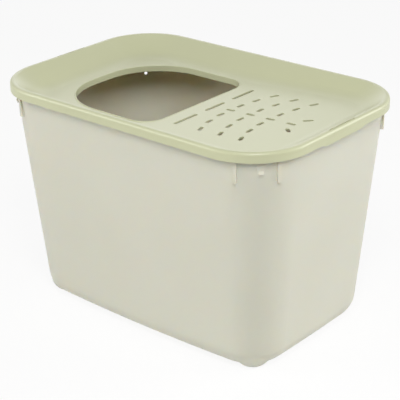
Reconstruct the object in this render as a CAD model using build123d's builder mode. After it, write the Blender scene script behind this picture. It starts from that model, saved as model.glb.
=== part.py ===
"""Top entry litter box: a deep tapered tub and a lift-off lid with a large entry opening.

Millimetres, +Z up. The origin is on the floor under the middle of the box. +X runs along the box
towards the slotted end of the lid, and -Y is one of the two long sides.
"""

import os
from math import cos, radians, sin, tan

from build123d import *

os.makedirs("parts", exist_ok=True)

# ---------------------------------------------------------------- overall size
length = 585.0  # over the lid's skirt, along X
width = 390.0  # over the lid's skirt, along Y
height = 393.0  # from the feet to the crest of the lid
corner = 100.0  # plan radius of the lid's corners

# ---------------------------------------------------------------- lid: skirt and crest
lid_wall = 2.4
skirt_depth = 16.2
crest_land = 8.5  # from the skirt's outer face to where the tray starts to fall
crest_round = 5.0
crest_inner_round = 6.0

# ---------------------------------------------------------------- lid: tray
tray_fall = 29.3  # from the crest to the level floor round the entry
tray_slope = 33.7  # fall of the tray's sides, in degrees from level
tray_blend = 46.0  # radius between the tray's sides and its floor
ramp_slope = 2.2  # fall of the slotted floor towards the entry, in degrees
ramp_blend = 700.0  # radius between the level floor and the slotted floor

# ---------------------------------------------------------------- lid: entry opening
entry_left = -212.0
entry_right = 9.0
entry_width = 251.0
entry_left_corner = 104.0
entry_right_corner = 36.5
collar_wall = 2.6
collar_depth = 11.0  # from the bead on top to the collar's lower edge
collar_bead = 0.9  # how far the bead stands above the floor
collar_bead_round = 1.0
collar_lip_round = 0.8  # on the collar's lower edge

# ---------------------------------------------------------------- lid: litter slots
slot_width = 6.8
short_slot = 17.5
long_slot = 55.0
middle_long_slot = 48.0
long_slot_x = 40.5
long_slot_pitch = 72.6
first_row = 73.0
row_pitch = 40.0
row_count = 3
# one side of a row: distance from the middle, step away from the entry, turn from the X axis
row_stations = ((0.0, 0.0, 0.0), (25.6, 0.0, 90.0), (60.0, 5.4, 83.0), (94.0, 16.3, 68.0))
end_row_stations = ((0.0, 0.0, 0.0), (26.2, 13.5, 42.0))

# ---------------------------------------------------------------- lid: latch tabs
slit_length = 66.0
slit_width = 2.2
slit_inset = 5.4  # from the skirt's outer face to the middle of the slit
tab_width = 92.0
tab_drop = 3.4  # how much deeper the skirt is at a latch tab
tab_lead = 12.0  # length of the sloped step at each end of a tab
catch_length = 52.0
catch_height = 2.4
catch_proud = 0.6
catch_gap = 0.4  # between the rim flange and the catch under it

# ---------------------------------------------------------------- tub: walls and floor
overhang = 8.75  # lid beyond the tub's wall, all round
tub_corner = 92.0
tub_wall = 2.6
side_draft = 27.75  # how much further in a long wall is at the floor than at the rim
end_draft = 34.9
side_bow = 10.0  # how far the middle of a long wall bows out at the floor, from its corners
end_bow = 3.5
rim_bow = 0.8  # the same for all four walls at the rim
base_corner = 68.0
base_round = 41.0
floor_wall = 3.0
foot_height = 2.8

# ---------------------------------------------------------------- tub: rim
rim_gap = 0.8  # between the rim and the inside of the skirt
flange_drop = 6.0  # from the lid's seat to the top of the flange
flange_wall = 3.0
seat_width = 3.0  # wall of the upstand that carries the lid
seat_gap_margin = 4.5  # of the gap in the upstand, beyond each end of the slit above it

# ---------------------------------------------------------------- tub: corner ribs and tongues
rib_angles = (27.3, 68.4)  # from the X axis, about the corner's centre
rib_wall = 5.0
rib_setback = 4.0  # of the ribs from the edge of the flange
rib_drop = 41.0  # from the flange down to the ribs' lower ends
rib_draft = 1.0
tongue_angle = 44.3
tongue_top = 15.0
tongue_tip = 10.0
tongue_drop = 29.0
tongue_notch = 3.2
tongue_setback = 5.6
barb_width = 7.0
barb_height = 4.5
barb_proud = 1.8  # how far the barb at the tip of a tongue stands out from it

# ---------------------------------------------------------------- tub: feet and corner hole
foot_radius = 31.0
foot_round = 26.0
foot_proud = 0.5  # how far a foot stands out past the corner of the wall's lower end
foot_top = 60.0  # where a foot ends inside the wall, which leans out over it
foot_seam_round = 8.0  # blends a foot into the wall and the floor
corner_hole = 6.0
corner_hole_drop = 60.6  # from the flange down to the middle of the hole

# ---------------------------------------------------------------- worked out from these
skirt_bottom = height - skirt_depth
seat_level = height - lid_wall  # underside of the crest, where the lid rests
flange_top = seat_level - flange_drop
flange_bottom = flange_top - flange_wall
rim_inset = lid_wall + rim_gap
floor_bottom = foot_height
tray_floor = height - tray_fall
entry_middle = (entry_left + entry_right) / 2
base_length = length / 2 - overhang - end_draft  # from the middle to an end wall, at the floor
base_width = width / 2 - overhang - side_draft  # the same to a long wall
foot_reach = (base_corner + foot_proud - foot_radius) / 2 ** 0.5
foot_x = base_length - base_corner - end_bow * (1 - base_corner / base_width) ** 2 + foot_reach
foot_y = base_width - base_corner - side_bow * (1 - base_corner / base_length) ** 2 + foot_reach


def tub_outline(level, inset):
    """Sketch of the tub's wall at a level, moved in by an inset. Its four sides bow out slightly."""
    drop = (flange_bottom - level) / (flange_bottom - floor_bottom)
    reach_x = length / 2 - overhang - end_draft * drop - inset
    reach_y = width / 2 - overhang - side_draft * drop - inset
    corner_x = reach_x - rim_bow - (end_bow - rim_bow) * drop
    corner_y = reach_y - rim_bow - (side_bow - rim_bow) * drop
    with BuildSketch(Plane.XY.offset(level)) as outline:
        with BuildLine():
            ThreePointArc((-corner_x, -corner_y), (0, -reach_y), (corner_x, -corner_y))
            ThreePointArc((corner_x, -corner_y), (reach_x, 0), (corner_x, corner_y))
            ThreePointArc((corner_x, corner_y), (0, reach_y), (-corner_x, corner_y))
            ThreePointArc((-corner_x, corner_y), (-reach_x, 0), (-corner_x, -corner_y))
        make_face()
        fillet(outline.vertices(), tub_corner + (base_corner - tub_corner) * drop - inset)
    return outline.sketch


def tub_block(inset, bottom, top, edge_round):
    """The tub's tapered form as a solid, moved in by an inset, with its lower edge rounded."""
    with BuildPart() as block:
        add(tub_outline(bottom, inset))
        add(tub_outline(top, inset))
        loft(ruled=True)
        fillet(block.faces().sort_by(Axis.Z)[0].edges(), edge_round)
    return block.part


def rim_ring(outer_inset, inner_inset, bottom, top):
    """A level ring that follows the lid's outline, between two insets from it."""
    with BuildPart() as ring:
        with BuildSketch(Plane.XY.offset(bottom)):
            RectangleRounded(length - 2 * outer_inset, width - 2 * outer_inset, corner - outer_inset)
            RectangleRounded(
                length - 2 * inner_inset, width - 2 * inner_inset, corner - inner_inset, mode=Mode.SUBTRACT
            )
        extrude(amount=top - bottom)
    return ring.part


def tray_block(wall):
    """The hollow of the lid's tray as a solid, grown on every side by a wall thickness."""
    side_inset = crest_land - wall / sin(radians(tray_slope))
    depth = tray_fall + wall + lid_wall
    with BuildPart() as block:
        with BuildSketch(Plane.XY.offset(height)):
            RectangleRounded(length - 2 * side_inset, width - 2 * side_inset, corner - side_inset)
        extrude(amount=-depth, taper=90 - tray_slope)
        ramp_rise = length / 2 * tan(radians(ramp_slope))
        with BuildSketch(Plane.XZ):
            with BuildLine():
                floor_line = FilletPolyline(
                    (-length / 2, tray_floor - wall),
                    (0, tray_floor - wall),
                    (length / 2, tray_floor - wall + ramp_rise),
                    radius=ramp_blend,
                )
                Polyline(
                    floor_line @ 1,
                    (length / 2, height + tray_fall),
                    (-length / 2, height + tray_fall),
                    floor_line @ 0,
                )
            make_face()
        extrude(amount=width, both=True, mode=Mode.INTERSECT)
        # the seams between floor and sides are rounded, the crease across the floor isn't
        floor_faces = block.faces().filter_by(lambda face: face.normal_at().Z < -cos(radians(tray_slope / 2)))
        seams = floor_faces.edges().filter_by(
            lambda edge: abs(edge.center().X) > length / 4 or abs(edge.center().Y) > width / 4
        )
        fillet(seams, tray_blend + wall)
    return block.part


def entry_outline(grow):
    """Sketch of the D-shaped entry, grown outwards on every side."""
    with BuildSketch() as outline:
        with Locations((entry_middle, 0)):
            entry = Rectangle(entry_right - entry_left + 2 * grow, entry_width + 2 * grow)
        fillet(entry.vertices().group_by(Axis.X)[0], entry_left_corner + grow)
        fillet(outline.vertices().group_by(Axis.X)[-1], entry_right_corner + grow)
    return outline.sketch


def short_slot_places():
    """Where each short litter slot lies: x, y and its turn from the X axis."""
    rows = [(first_row + row_pitch * row, row_stations) for row in range(row_count)]
    rows.append((first_row + row_pitch * row_count, end_row_stations))
    for row_x, stations in rows:
        for out, step, turn in stations:
            for side in (1, -1) if out else (1,):
                yield row_x + step, side * out, side * turn


def corner_plane(about_x, about_y, angle, reach):
    """A vertical plane facing outwards from a corner's centre, at an angle from the X axis."""
    outwards = (cos(radians(angle)), sin(radians(angle)), 0)
    across = (-sin(radians(angle)), cos(radians(angle)), 0)
    start = (about_x + reach * outwards[0], about_y + reach * outwards[1], 0)
    return Plane(origin=start, x_dir=across, z_dir=outwards)


def foot_block(inset, bottom):
    """One foot as an upright round-bottomed post, moved in by an inset."""
    with BuildPart() as post:
        with Locations((foot_x, foot_y, bottom)):
            Cylinder(foot_radius - inset, foot_top - bottom, align=(Align.CENTER, Align.CENTER, Align.MIN))
        fillet(post.edges().group_by(Axis.Z)[0], foot_round - inset)
    return post.part


# ================================================================ tub
# One moulding: tapered walls, a rounded floor edge, four feet, a rim flange with an upstand that the
# lid rests on, and under the flange at each corner two ribs and a tongue.
wall_corner_x = length / 2 - overhang - tub_corner
wall_corner_y = width / 2 - overhang - tub_corner

walls_outside = tub_block(0, floor_bottom, flange_bottom, base_round)
walls_inside = tub_block(tub_wall, floor_bottom + floor_wall, height, base_round - tub_wall)
seat_ring = rim_ring(rim_inset, rim_inset + seat_width, flange_top, seat_level)

with BuildPart() as rib_limit:
    rib_inset = rim_inset + rib_setback
    with BuildSketch(Plane.XY.offset(flange_bottom)):
        RectangleRounded(length - 2 * rib_inset, width - 2 * rib_inset, corner - rib_inset)
    extrude(amount=-rib_drop, taper=rib_draft)

with BuildPart() as corner_ribs:
    with BuildSketch(Plane.XY.offset(flange_bottom - rib_drop)):
        for rib_angle in rib_angles:
            with Locations((wall_corner_x, wall_corner_y)):
                Rectangle(corner, rib_wall, rotation=rib_angle, align=(Align.MIN, Align.CENTER))
    extrude(amount=rib_drop)
    add(rib_limit.part, mode=Mode.INTERSECT)
    mirror(about=Plane.XZ)
    mirror(about=Plane.YZ)

tongue_reach = corner - rim_inset - tongue_setback  # from the corner's centre to a tongue's face
tongue_face = corner_plane(wall_corner_x, wall_corner_y, tongue_angle, 0)
tongue_side = Plane(origin=tongue_face.origin, x_dir=tongue_face.z_dir, z_dir=-tongue_face.x_dir)

with BuildPart() as tongues:
    with BuildSketch(tongue_face.offset(tub_corner / 2)):
        with BuildLine():
            Polyline(
                (-tongue_top / 2, flange_bottom),
                (-tongue_tip / 2, flange_bottom - tongue_drop),
                (-tongue_notch / 2, flange_bottom - tongue_drop),
                (0, flange_bottom - tongue_drop + tongue_notch),
                (tongue_notch / 2, flange_bottom - tongue_drop),
                (tongue_tip / 2, flange_bottom - tongue_drop),
                (tongue_top / 2, flange_bottom),
                close=True,
            )
        make_face()
    extrude(amount=tub_corner)
    with Locations((wall_corner_x, wall_corner_y, flange_bottom)):
        Cylinder(tongue_reach, 2 * tongue_drop, mode=Mode.INTERSECT)
    # the barb above the notch: a wedge whose upper face slopes outwards
    barb_bottom = flange_bottom - tongue_drop + tongue_notch
    with BuildSketch(tongue_side):
        with BuildLine():
            Polyline(
                (0, barb_bottom),
                (tongue_reach + barb_proud, barb_bottom),
                (tongue_reach, barb_bottom + barb_height),
                (0, barb_bottom + barb_height),
                close=True,
            )
        make_face()
    extrude(amount=barb_width / 2, both=True)
    mirror(about=Plane.XZ)
    mirror(about=Plane.YZ)

with BuildPart() as feet:
    add(foot_block(0, 0))
    mirror(about=Plane.XZ)
    mirror(about=Plane.YZ)

with BuildPart() as foot_hollows:
    add(foot_block(tub_wall, floor_wall))
    mirror(about=Plane.XZ)
    mirror(about=Plane.YZ)

with BuildPart() as tub:
    add(walls_outside)
    add(feet.part)
    foot_seams = tub.edges(Select.LAST).filter_by(GeomType.BSPLINE)
    fillet(foot_seams, foot_seam_round)
    with BuildSketch(Plane.XY.offset(flange_bottom)):
        RectangleRounded(length - 2 * rim_inset, width - 2 * rim_inset, corner - rim_inset)
    extrude(amount=flange_wall)
    add(corner_ribs.part)
    add(tongues.part)
    add(walls_inside, mode=Mode.SUBTRACT)
    add(foot_hollows.part, mode=Mode.SUBTRACT)
    add(seat_ring)
    # gaps in the upstand under the two latch slits
    with BuildSketch(Plane.XY.offset(flange_top)):
        with Locations((-length / 2, 0), (length / 2, 0)):
            Rectangle(2 * (rim_inset + 2 * seat_width), slit_length + 2 * seat_gap_margin)
    extrude(amount=seat_level - flange_top, mode=Mode.SUBTRACT)
    # the small hole in the corner wall behind the entry
    with BuildSketch(corner_plane(-wall_corner_x, wall_corner_y, 180 - tongue_angle, tub_corner / 2)):
        with Locations((0, flange_bottom - corner_hole_drop)):
            Circle(corner_hole / 2)
    extrude(amount=tub_corner, mode=Mode.SUBTRACT)

tub.part.label = "tub"
export_step(tub.part, "parts/tub.step")

# ================================================================ lid
# One moulding: a short skirt, a rounded crest, a tray that falls to the D-shaped entry, a collar round
# the entry, the litter slots, and at each short end a latch tab that a slit in the crest lets flex.
tray_outside = tray_block(lid_wall)
tray_inside = tray_block(0)

with BuildPart() as collar:
    with BuildSketch(Plane.XY.offset(tray_floor + collar_bead)):
        add(entry_outline(collar_wall))
        add(entry_outline(0), mode=Mode.SUBTRACT)
    extrude(amount=-collar_depth)
    fillet(collar.faces().sort_by(Axis.Z)[-1].edges(), collar_bead_round)
    fillet(collar.faces().sort_by(Axis.Z)[0].edges(), collar_lip_round)

with BuildPart() as lid:
    with BuildSketch(Plane.XY.offset(skirt_bottom)):
        RectangleRounded(length, width, corner)
    extrude(amount=skirt_depth)
    fillet(lid.faces().sort_by(Axis.Z)[-1].edges(), crest_round)
    # deeper skirt at the two latch tabs, with a sloped step at each end
    with BuildSketch(Plane.YZ):
        with BuildLine():
            Polyline(
                (-tab_width / 2 - tab_lead, skirt_bottom),
                (-tab_width / 2, skirt_bottom - tab_drop),
                (tab_width / 2, skirt_bottom - tab_drop),
                (tab_width / 2 + tab_lead, skirt_bottom),
                close=True,
            )
        make_face()
    extrude(amount=length / 2, both=True)
    with BuildSketch(Plane.XY.offset(skirt_bottom - tab_drop)):
        RectangleRounded(length - 2 * lid_wall, width - 2 * lid_wall, corner - lid_wall)
    extrude(amount=seat_level - skirt_bottom + tab_drop, mode=Mode.SUBTRACT)
    add(tray_outside)
    add(tray_inside, mode=Mode.SUBTRACT)
    crest_edges = lid.faces().filter_by(Axis.Z).sort_by(Axis.Z)[-1].inner_wires()[0].edges()
    fillet(crest_edges, crest_inner_round)
    # the hole for the entry, and the collar that lines it
    with BuildSketch(Plane.XY.offset(tray_floor - 2 * lid_wall)):
        add(entry_outline(collar_wall / 2))
    extrude(amount=4 * lid_wall, mode=Mode.SUBTRACT)
    add(collar.part)
    # litter slots
    with BuildSketch(Plane.XY.offset(tray_floor - 2 * lid_wall)):
        with Locations((long_slot_x, 0)):
            SlotOverall(middle_long_slot, slot_width, rotation=90)
        with Locations((long_slot_x, -long_slot_pitch), (long_slot_x, long_slot_pitch)):
            SlotOverall(long_slot, slot_width, rotation=90)
        for slot_x, slot_y, turn in short_slot_places():
            with Locations((slot_x, slot_y)):
                SlotOverall(short_slot, slot_width, rotation=turn)
    extrude(amount=tray_fall, mode=Mode.SUBTRACT)
    # a slit through the crest above each latch tab, and the catch on the tab's inside
    with BuildSketch(Plane.XY.offset(height)):
        with Locations((slit_inset - length / 2, 0), (length / 2 - slit_inset, 0)):
            SlotOverall(slit_length, slit_width, rotation=90)
    extrude(amount=-2 * lid_wall, mode=Mode.SUBTRACT)
    with BuildSketch(Plane.XZ):
        with BuildLine():
            Polyline(
                (length / 2 - lid_wall, flange_bottom - catch_gap),
                (length / 2 - lid_wall - catch_proud, flange_bottom - catch_gap - catch_height / 2),
                (length / 2 - lid_wall, flange_bottom - catch_gap - catch_height),
                close=True,
            )
        make_face()
        mirror(about=Plane.YZ)
    extrude(amount=catch_length / 2, both=True)

lid.part.label = "lid"
export_step(lid.part, "parts/lid.step")
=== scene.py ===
"""Looks for the top entry litter box: an ivory tub and a pale green lift-off lid.

Metres, +Z up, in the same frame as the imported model. The part's own shapes come from that model;
this script gives them their moulded plastic, and sets up the floor, the light and the camera.
"""

from math import cos, radians, sin

import bmesh
import bpy
from mathutils import Matrix, Vector

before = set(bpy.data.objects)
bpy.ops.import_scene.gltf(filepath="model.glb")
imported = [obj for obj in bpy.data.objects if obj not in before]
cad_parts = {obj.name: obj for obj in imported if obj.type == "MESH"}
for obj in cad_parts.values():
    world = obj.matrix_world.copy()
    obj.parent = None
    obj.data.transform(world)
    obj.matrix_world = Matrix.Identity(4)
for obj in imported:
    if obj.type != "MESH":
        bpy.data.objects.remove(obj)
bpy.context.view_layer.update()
bpy.context.scene.view_settings.view_transform = "Standard"
mm = 0.001

# ---------------------------------------------------------------- tub
# The deep tub that holds the litter: one injection moulding in ivory polypropylene, about 2.6 mm
# thick. Its mould was spark-eroded, so the surface has an even satin grain and no gloss.
ivory = "#E1DFD0"
ivory_deep = "#DBD9C8"  # where the pigment lies a little thicker
polypropylene_ior = 1.49

tub_cloud = 130 * mm  # size of the faint flow clouds of a large moulding
cloud_octaves = 2.0
cloud_fade = 0.4  # strength of each finer octave of the clouds, next to the coarser one

tub_grain = 1.2 * mm  # the real grain is about 0.2 mm, drawn coarser so that it shows
tub_grain_depth = 0.03 * mm
grain_octaves = 3.0
grain_fade = 0.6
relief_strength = 0.5
tub_roughness = (0.40, 0.50)  # on the smoothest and the roughest of the grain

tub_scatter_share = 0.4  # share of the light that goes into the wall instead of off its surface
tub_scatter = 6 * mm  # how far light spreads in the wall, so a little comes through it
tub_scatter_colours = (1.0, 0.7, 0.4)  # red spreads furthest, which warms the shaded inside


def linear(hex_colour):
    """An sRGB hex colour as linear red, green, blue and alpha, by the sRGB curve's two branches."""
    parts = [int(hex_colour[start:start + 2], 16) / 255 for start in (1, 3, 5)]
    light = [part / 12.92 if part <= 0.04045 else ((part + 0.055) / 1.055) ** 2.4 for part in parts]
    return light + [1.0]


def add_node(tree, kind, inputs=None, **settings):
    """Adds a node. An input is either a value, or a (node, output name) pair to link from."""
    node = tree.nodes.new(kind)
    for name, value in settings.items():
        setattr(node, name, value)
    for name, value in (inputs or {}).items():
        if isinstance(value, tuple) and isinstance(value[0], bpy.types.Node):
            tree.links.new(value[0].outputs[value[1]], node.inputs[name])
        else:
            node.inputs[name].default_value = value
    return node


# Polypropylene copolymer as moulded: waxy, slightly translucent, IOR 1.49. The eroded grain spreads
# the highlights into a soft sheen, so no light is mirrored sharply.
ivory_plastic = bpy.data.materials.new("ivory_moulded_polypropylene")
ivory_plastic.use_nodes = True
tree = ivory_plastic.node_tree
tree.nodes.clear()
place = add_node(tree, "ShaderNodeTexCoord")
cloud = add_node(
    tree, "ShaderNodeTexNoise",
    {
        "Vector": (place, "Object"), "Scale": 1 / tub_cloud,
        "Detail": cloud_octaves, "Roughness": cloud_fade,
    },
)
tint = add_node(
    tree, "ShaderNodeMixRGB",
    {"Fac": (cloud, "Fac"), "Color1": linear(ivory_deep), "Color2": linear(ivory)},
)
grain = add_node(
    tree, "ShaderNodeTexNoise",
    {
        "Vector": (place, "Object"), "Scale": 1 / tub_grain,
        "Detail": grain_octaves, "Roughness": grain_fade,
    },
)
relief = add_node(
    tree, "ShaderNodeBump",
    {"Height": (grain, "Fac"), "Strength": relief_strength, "Distance": tub_grain_depth},
)
sheen = add_node(
    tree, "ShaderNodeMapRange",
    {"Value": (grain, "Fac"), "To Min": tub_roughness[0], "To Max": tub_roughness[1]},
)
plastic = add_node(
    tree, "ShaderNodeBsdfPrincipled",
    {
        "Base Color": (tint, "Color"), "Roughness": (sheen, "Result"), "IOR": polypropylene_ior,
        "Normal": (relief, "Normal"), "Subsurface Weight": tub_scatter_share,
        "Subsurface Radius": tub_scatter_colours, "Subsurface Scale": tub_scatter,
    },
)
add_node(tree, "ShaderNodeOutputMaterial", {"Surface": (plastic, "BSDF")})
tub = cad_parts["tub"]
tub.data.materials.clear()
tub.data.materials.append(ivory_plastic)

# ---------------------------------------------------------------- lid
# The dished lid that lifts off the tub: one injection moulding in the same polypropylene, pale
# grey-green and about 2.4 mm thick. A finer grain on its top gives it a slightly livelier sheen.
green = "#CFD1AD"
green_deep = "#CACCA7"
lid_cloud = 110 * mm
lid_grain = 1.0 * mm  # the real grain is about 0.15 mm, drawn coarser so that it shows
lid_grain_depth = 0.02 * mm
lid_roughness = (0.28, 0.38)

# The same polypropylene with a pale green masterbatch. The finer grain leaves it a little
# smoother than the tub, which shows as a pale glow towards grazing angles.
green_plastic = bpy.data.materials.new("pale_green_moulded_polypropylene")
green_plastic.use_nodes = True
tree = green_plastic.node_tree
tree.nodes.clear()
place = add_node(tree, "ShaderNodeTexCoord")
cloud = add_node(
    tree, "ShaderNodeTexNoise",
    {
        "Vector": (place, "Object"), "Scale": 1 / lid_cloud,
        "Detail": cloud_octaves, "Roughness": cloud_fade,
    },
)
tint = add_node(
    tree, "ShaderNodeMixRGB",
    {"Fac": (cloud, "Fac"), "Color1": linear(green_deep), "Color2": linear(green)},
)
grain = add_node(
    tree, "ShaderNodeTexNoise",
    {
        "Vector": (place, "Object"), "Scale": 1 / lid_grain,
        "Detail": grain_octaves, "Roughness": grain_fade,
    },
)
relief = add_node(
    tree, "ShaderNodeBump",
    {"Height": (grain, "Fac"), "Strength": relief_strength, "Distance": lid_grain_depth},
)
sheen = add_node(
    tree, "ShaderNodeMapRange",
    {"Value": (grain, "Fac"), "To Min": lid_roughness[0], "To Max": lid_roughness[1]},
)
plastic = add_node(
    tree, "ShaderNodeBsdfPrincipled",
    {
        "Base Color": (tint, "Color"), "Roughness": (sheen, "Result"), "IOR": polypropylene_ior,
        "Normal": (relief, "Normal"),
    },
)
add_node(tree, "ShaderNodeOutputMaterial", {"Surface": (plastic, "BSDF")})
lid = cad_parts["lid"]
lid.data.materials.clear()
lid.data.materials.append(green_plastic)

# ---------------------------------------------------------------- floor and background
# A plain pale studio floor and a white background. The camera sees the floor almost white, with a
# faint shadow under the box.
floor_size = 14.0  # metres
floor_grey = "#E6E6E4"
floor_white = 0.86  # share of plain white in what the camera sees
floor_glow = 1.03  # strength of that white
studio_white = "#FFFFFF"
ambient_strength = 0.02  # of the background as a light on the box
backdrop_strength = 1.0  # of the background as the camera sees it

bm = bmesh.new()
bmesh.ops.create_grid(bm, x_segments=1, y_segments=1, size=floor_size / 2)
floor_mesh = bpy.data.meshes.new("floor")
bm.to_mesh(floor_mesh)
bm.free()
floor = bpy.data.objects.new("floor", floor_mesh)
bpy.context.scene.collection.objects.link(floor)


def seen_by_camera(tree):
    """A node that gives 1 to what the camera sees, also in a reflection or through glass, else 0."""
    rays = add_node(tree, "ShaderNodeLightPath")
    glossy_too = add_node(
        tree, "ShaderNodeMath",
        {0: (rays, "Is Camera Ray"), 1: (rays, "Is Glossy Ray")}, operation="MAXIMUM",
    )
    return add_node(
        tree, "ShaderNodeMath",
        {0: (glossy_too, "Value"), 1: (rays, "Is Transmission Ray")}, operation="MAXIMUM",
    )


# Matt paper that takes the shadow, mixed with plain white light where the camera sees it.
floor_paper = bpy.data.materials.new("floor_paper")
floor_paper.use_nodes = True
tree = floor_paper.node_tree
tree.nodes.clear()
seen = seen_by_camera(tree)
share = add_node(tree, "ShaderNodeMath", {0: (seen, "Value"), 1: floor_white}, operation="MULTIPLY")
paper = add_node(tree, "ShaderNodeBsdfDiffuse", {"Color": linear(floor_grey)})
white = add_node(tree, "ShaderNodeEmission", {"Color": linear(studio_white), "Strength": floor_glow})
surface = add_node(
    tree, "ShaderNodeMixShader", {0: (share, "Value"), 1: (paper, "BSDF"), 2: (white, "Emission")}
)
add_node(tree, "ShaderNodeOutputMaterial", {"Surface": (surface, "Shader")})
floor_mesh.materials.append(floor_paper)

world = bpy.data.worlds.new("white_studio")
bpy.context.scene.world = world
world.use_nodes = True
tree = world.node_tree
tree.nodes.clear()
seen = seen_by_camera(tree)
ambient = add_node(
    tree, "ShaderNodeBackground", {"Color": linear(studio_white), "Strength": ambient_strength}
)
backdrop = add_node(
    tree, "ShaderNodeBackground", {"Color": linear(studio_white), "Strength": backdrop_strength}
)
surround = add_node(
    tree, "ShaderNodeMixShader",
    {0: (seen, "Value"), 1: (ambient, "Background"), 2: (backdrop, "Background")},
)
add_node(tree, "ShaderNodeOutputWorld", {"Surface": (surround, "Shader")})

# ---------------------------------------------------------------- studio light
# Four soft boxes stand round the litter box: a smaller one above the camera, which draws the soft
# shadow under the lid's edge, a low one past each end, and a weak one behind for the lid's sheen.
lamp_distance = 3.0  # metres
aim = Vector((0, 0, 0.2))  # about the middle of the litter box
soft_boxes = (
    # name, degrees round from the slotted end, degrees up, side in metres, watts
    ("front", 315, 45, 1.2, 54.0),
    ("entry_end", 225, 20, 1.8, 42.0),
    ("slotted_end", 45, 20, 1.8, 48.0),
    ("back", 135, 20, 1.8, 10.0),
)
for name, around, rise, side, watts in soft_boxes:
    lamp = bpy.data.lights.new(name, "AREA")
    lamp.shape = "SQUARE"
    lamp.size = side
    lamp.energy = watts
    turn, tilt = radians(around), radians(rise)
    towards = Vector((cos(turn) * cos(tilt), sin(turn) * cos(tilt), sin(tilt)))
    soft_box = bpy.data.objects.new(name, lamp)
    soft_box.location = aim + towards * lamp_distance
    soft_box.rotation_euler = towards.to_track_quat("Z", "Y").to_euler()
    bpy.context.scene.collection.objects.link(soft_box)

# ---------------------------------------------------------------- camera
# It stands in front of the corner between the long side and the slotted end, looking down, where
# the photograph was taken from.
photo_width = 400  # pixels
focal_pixels = 1316.4
sensor_width = 36.0  # millimetres
azimuth, elevation, roll = radians(40.55), radians(24.14), radians(-0.89)
distance = 2230.7 * mm
middle = Vector((0, 0, 168 * mm))
aside = Vector((-3.85 * mm, -18.76 * mm))  # of the aim from the middle, to the right and up

back = Vector((sin(azimuth) * cos(elevation), -cos(azimuth) * cos(elevation), sin(elevation)))
level_right = (-back).cross(Vector((0, 0, 1))).normalized()
level_up = back.cross(level_right)
right = level_right * cos(roll) + level_up * sin(roll)
up = level_up * cos(roll) - level_right * sin(roll)
camera_data = bpy.data.cameras.new("camera")
camera_data.sensor_width = sensor_width
camera_data.lens = focal_pixels * sensor_width / photo_width
camera = bpy.data.objects.new("camera", camera_data)
standpoint = middle + back * distance - right * aside.x - up * aside.y
facing = Matrix((right, up, back)).transposed().to_4x4()
camera.matrix_world = Matrix.Translation(standpoint) @ facing
bpy.context.scene.collection.objects.link(camera)
bpy.context.scene.camera = camera
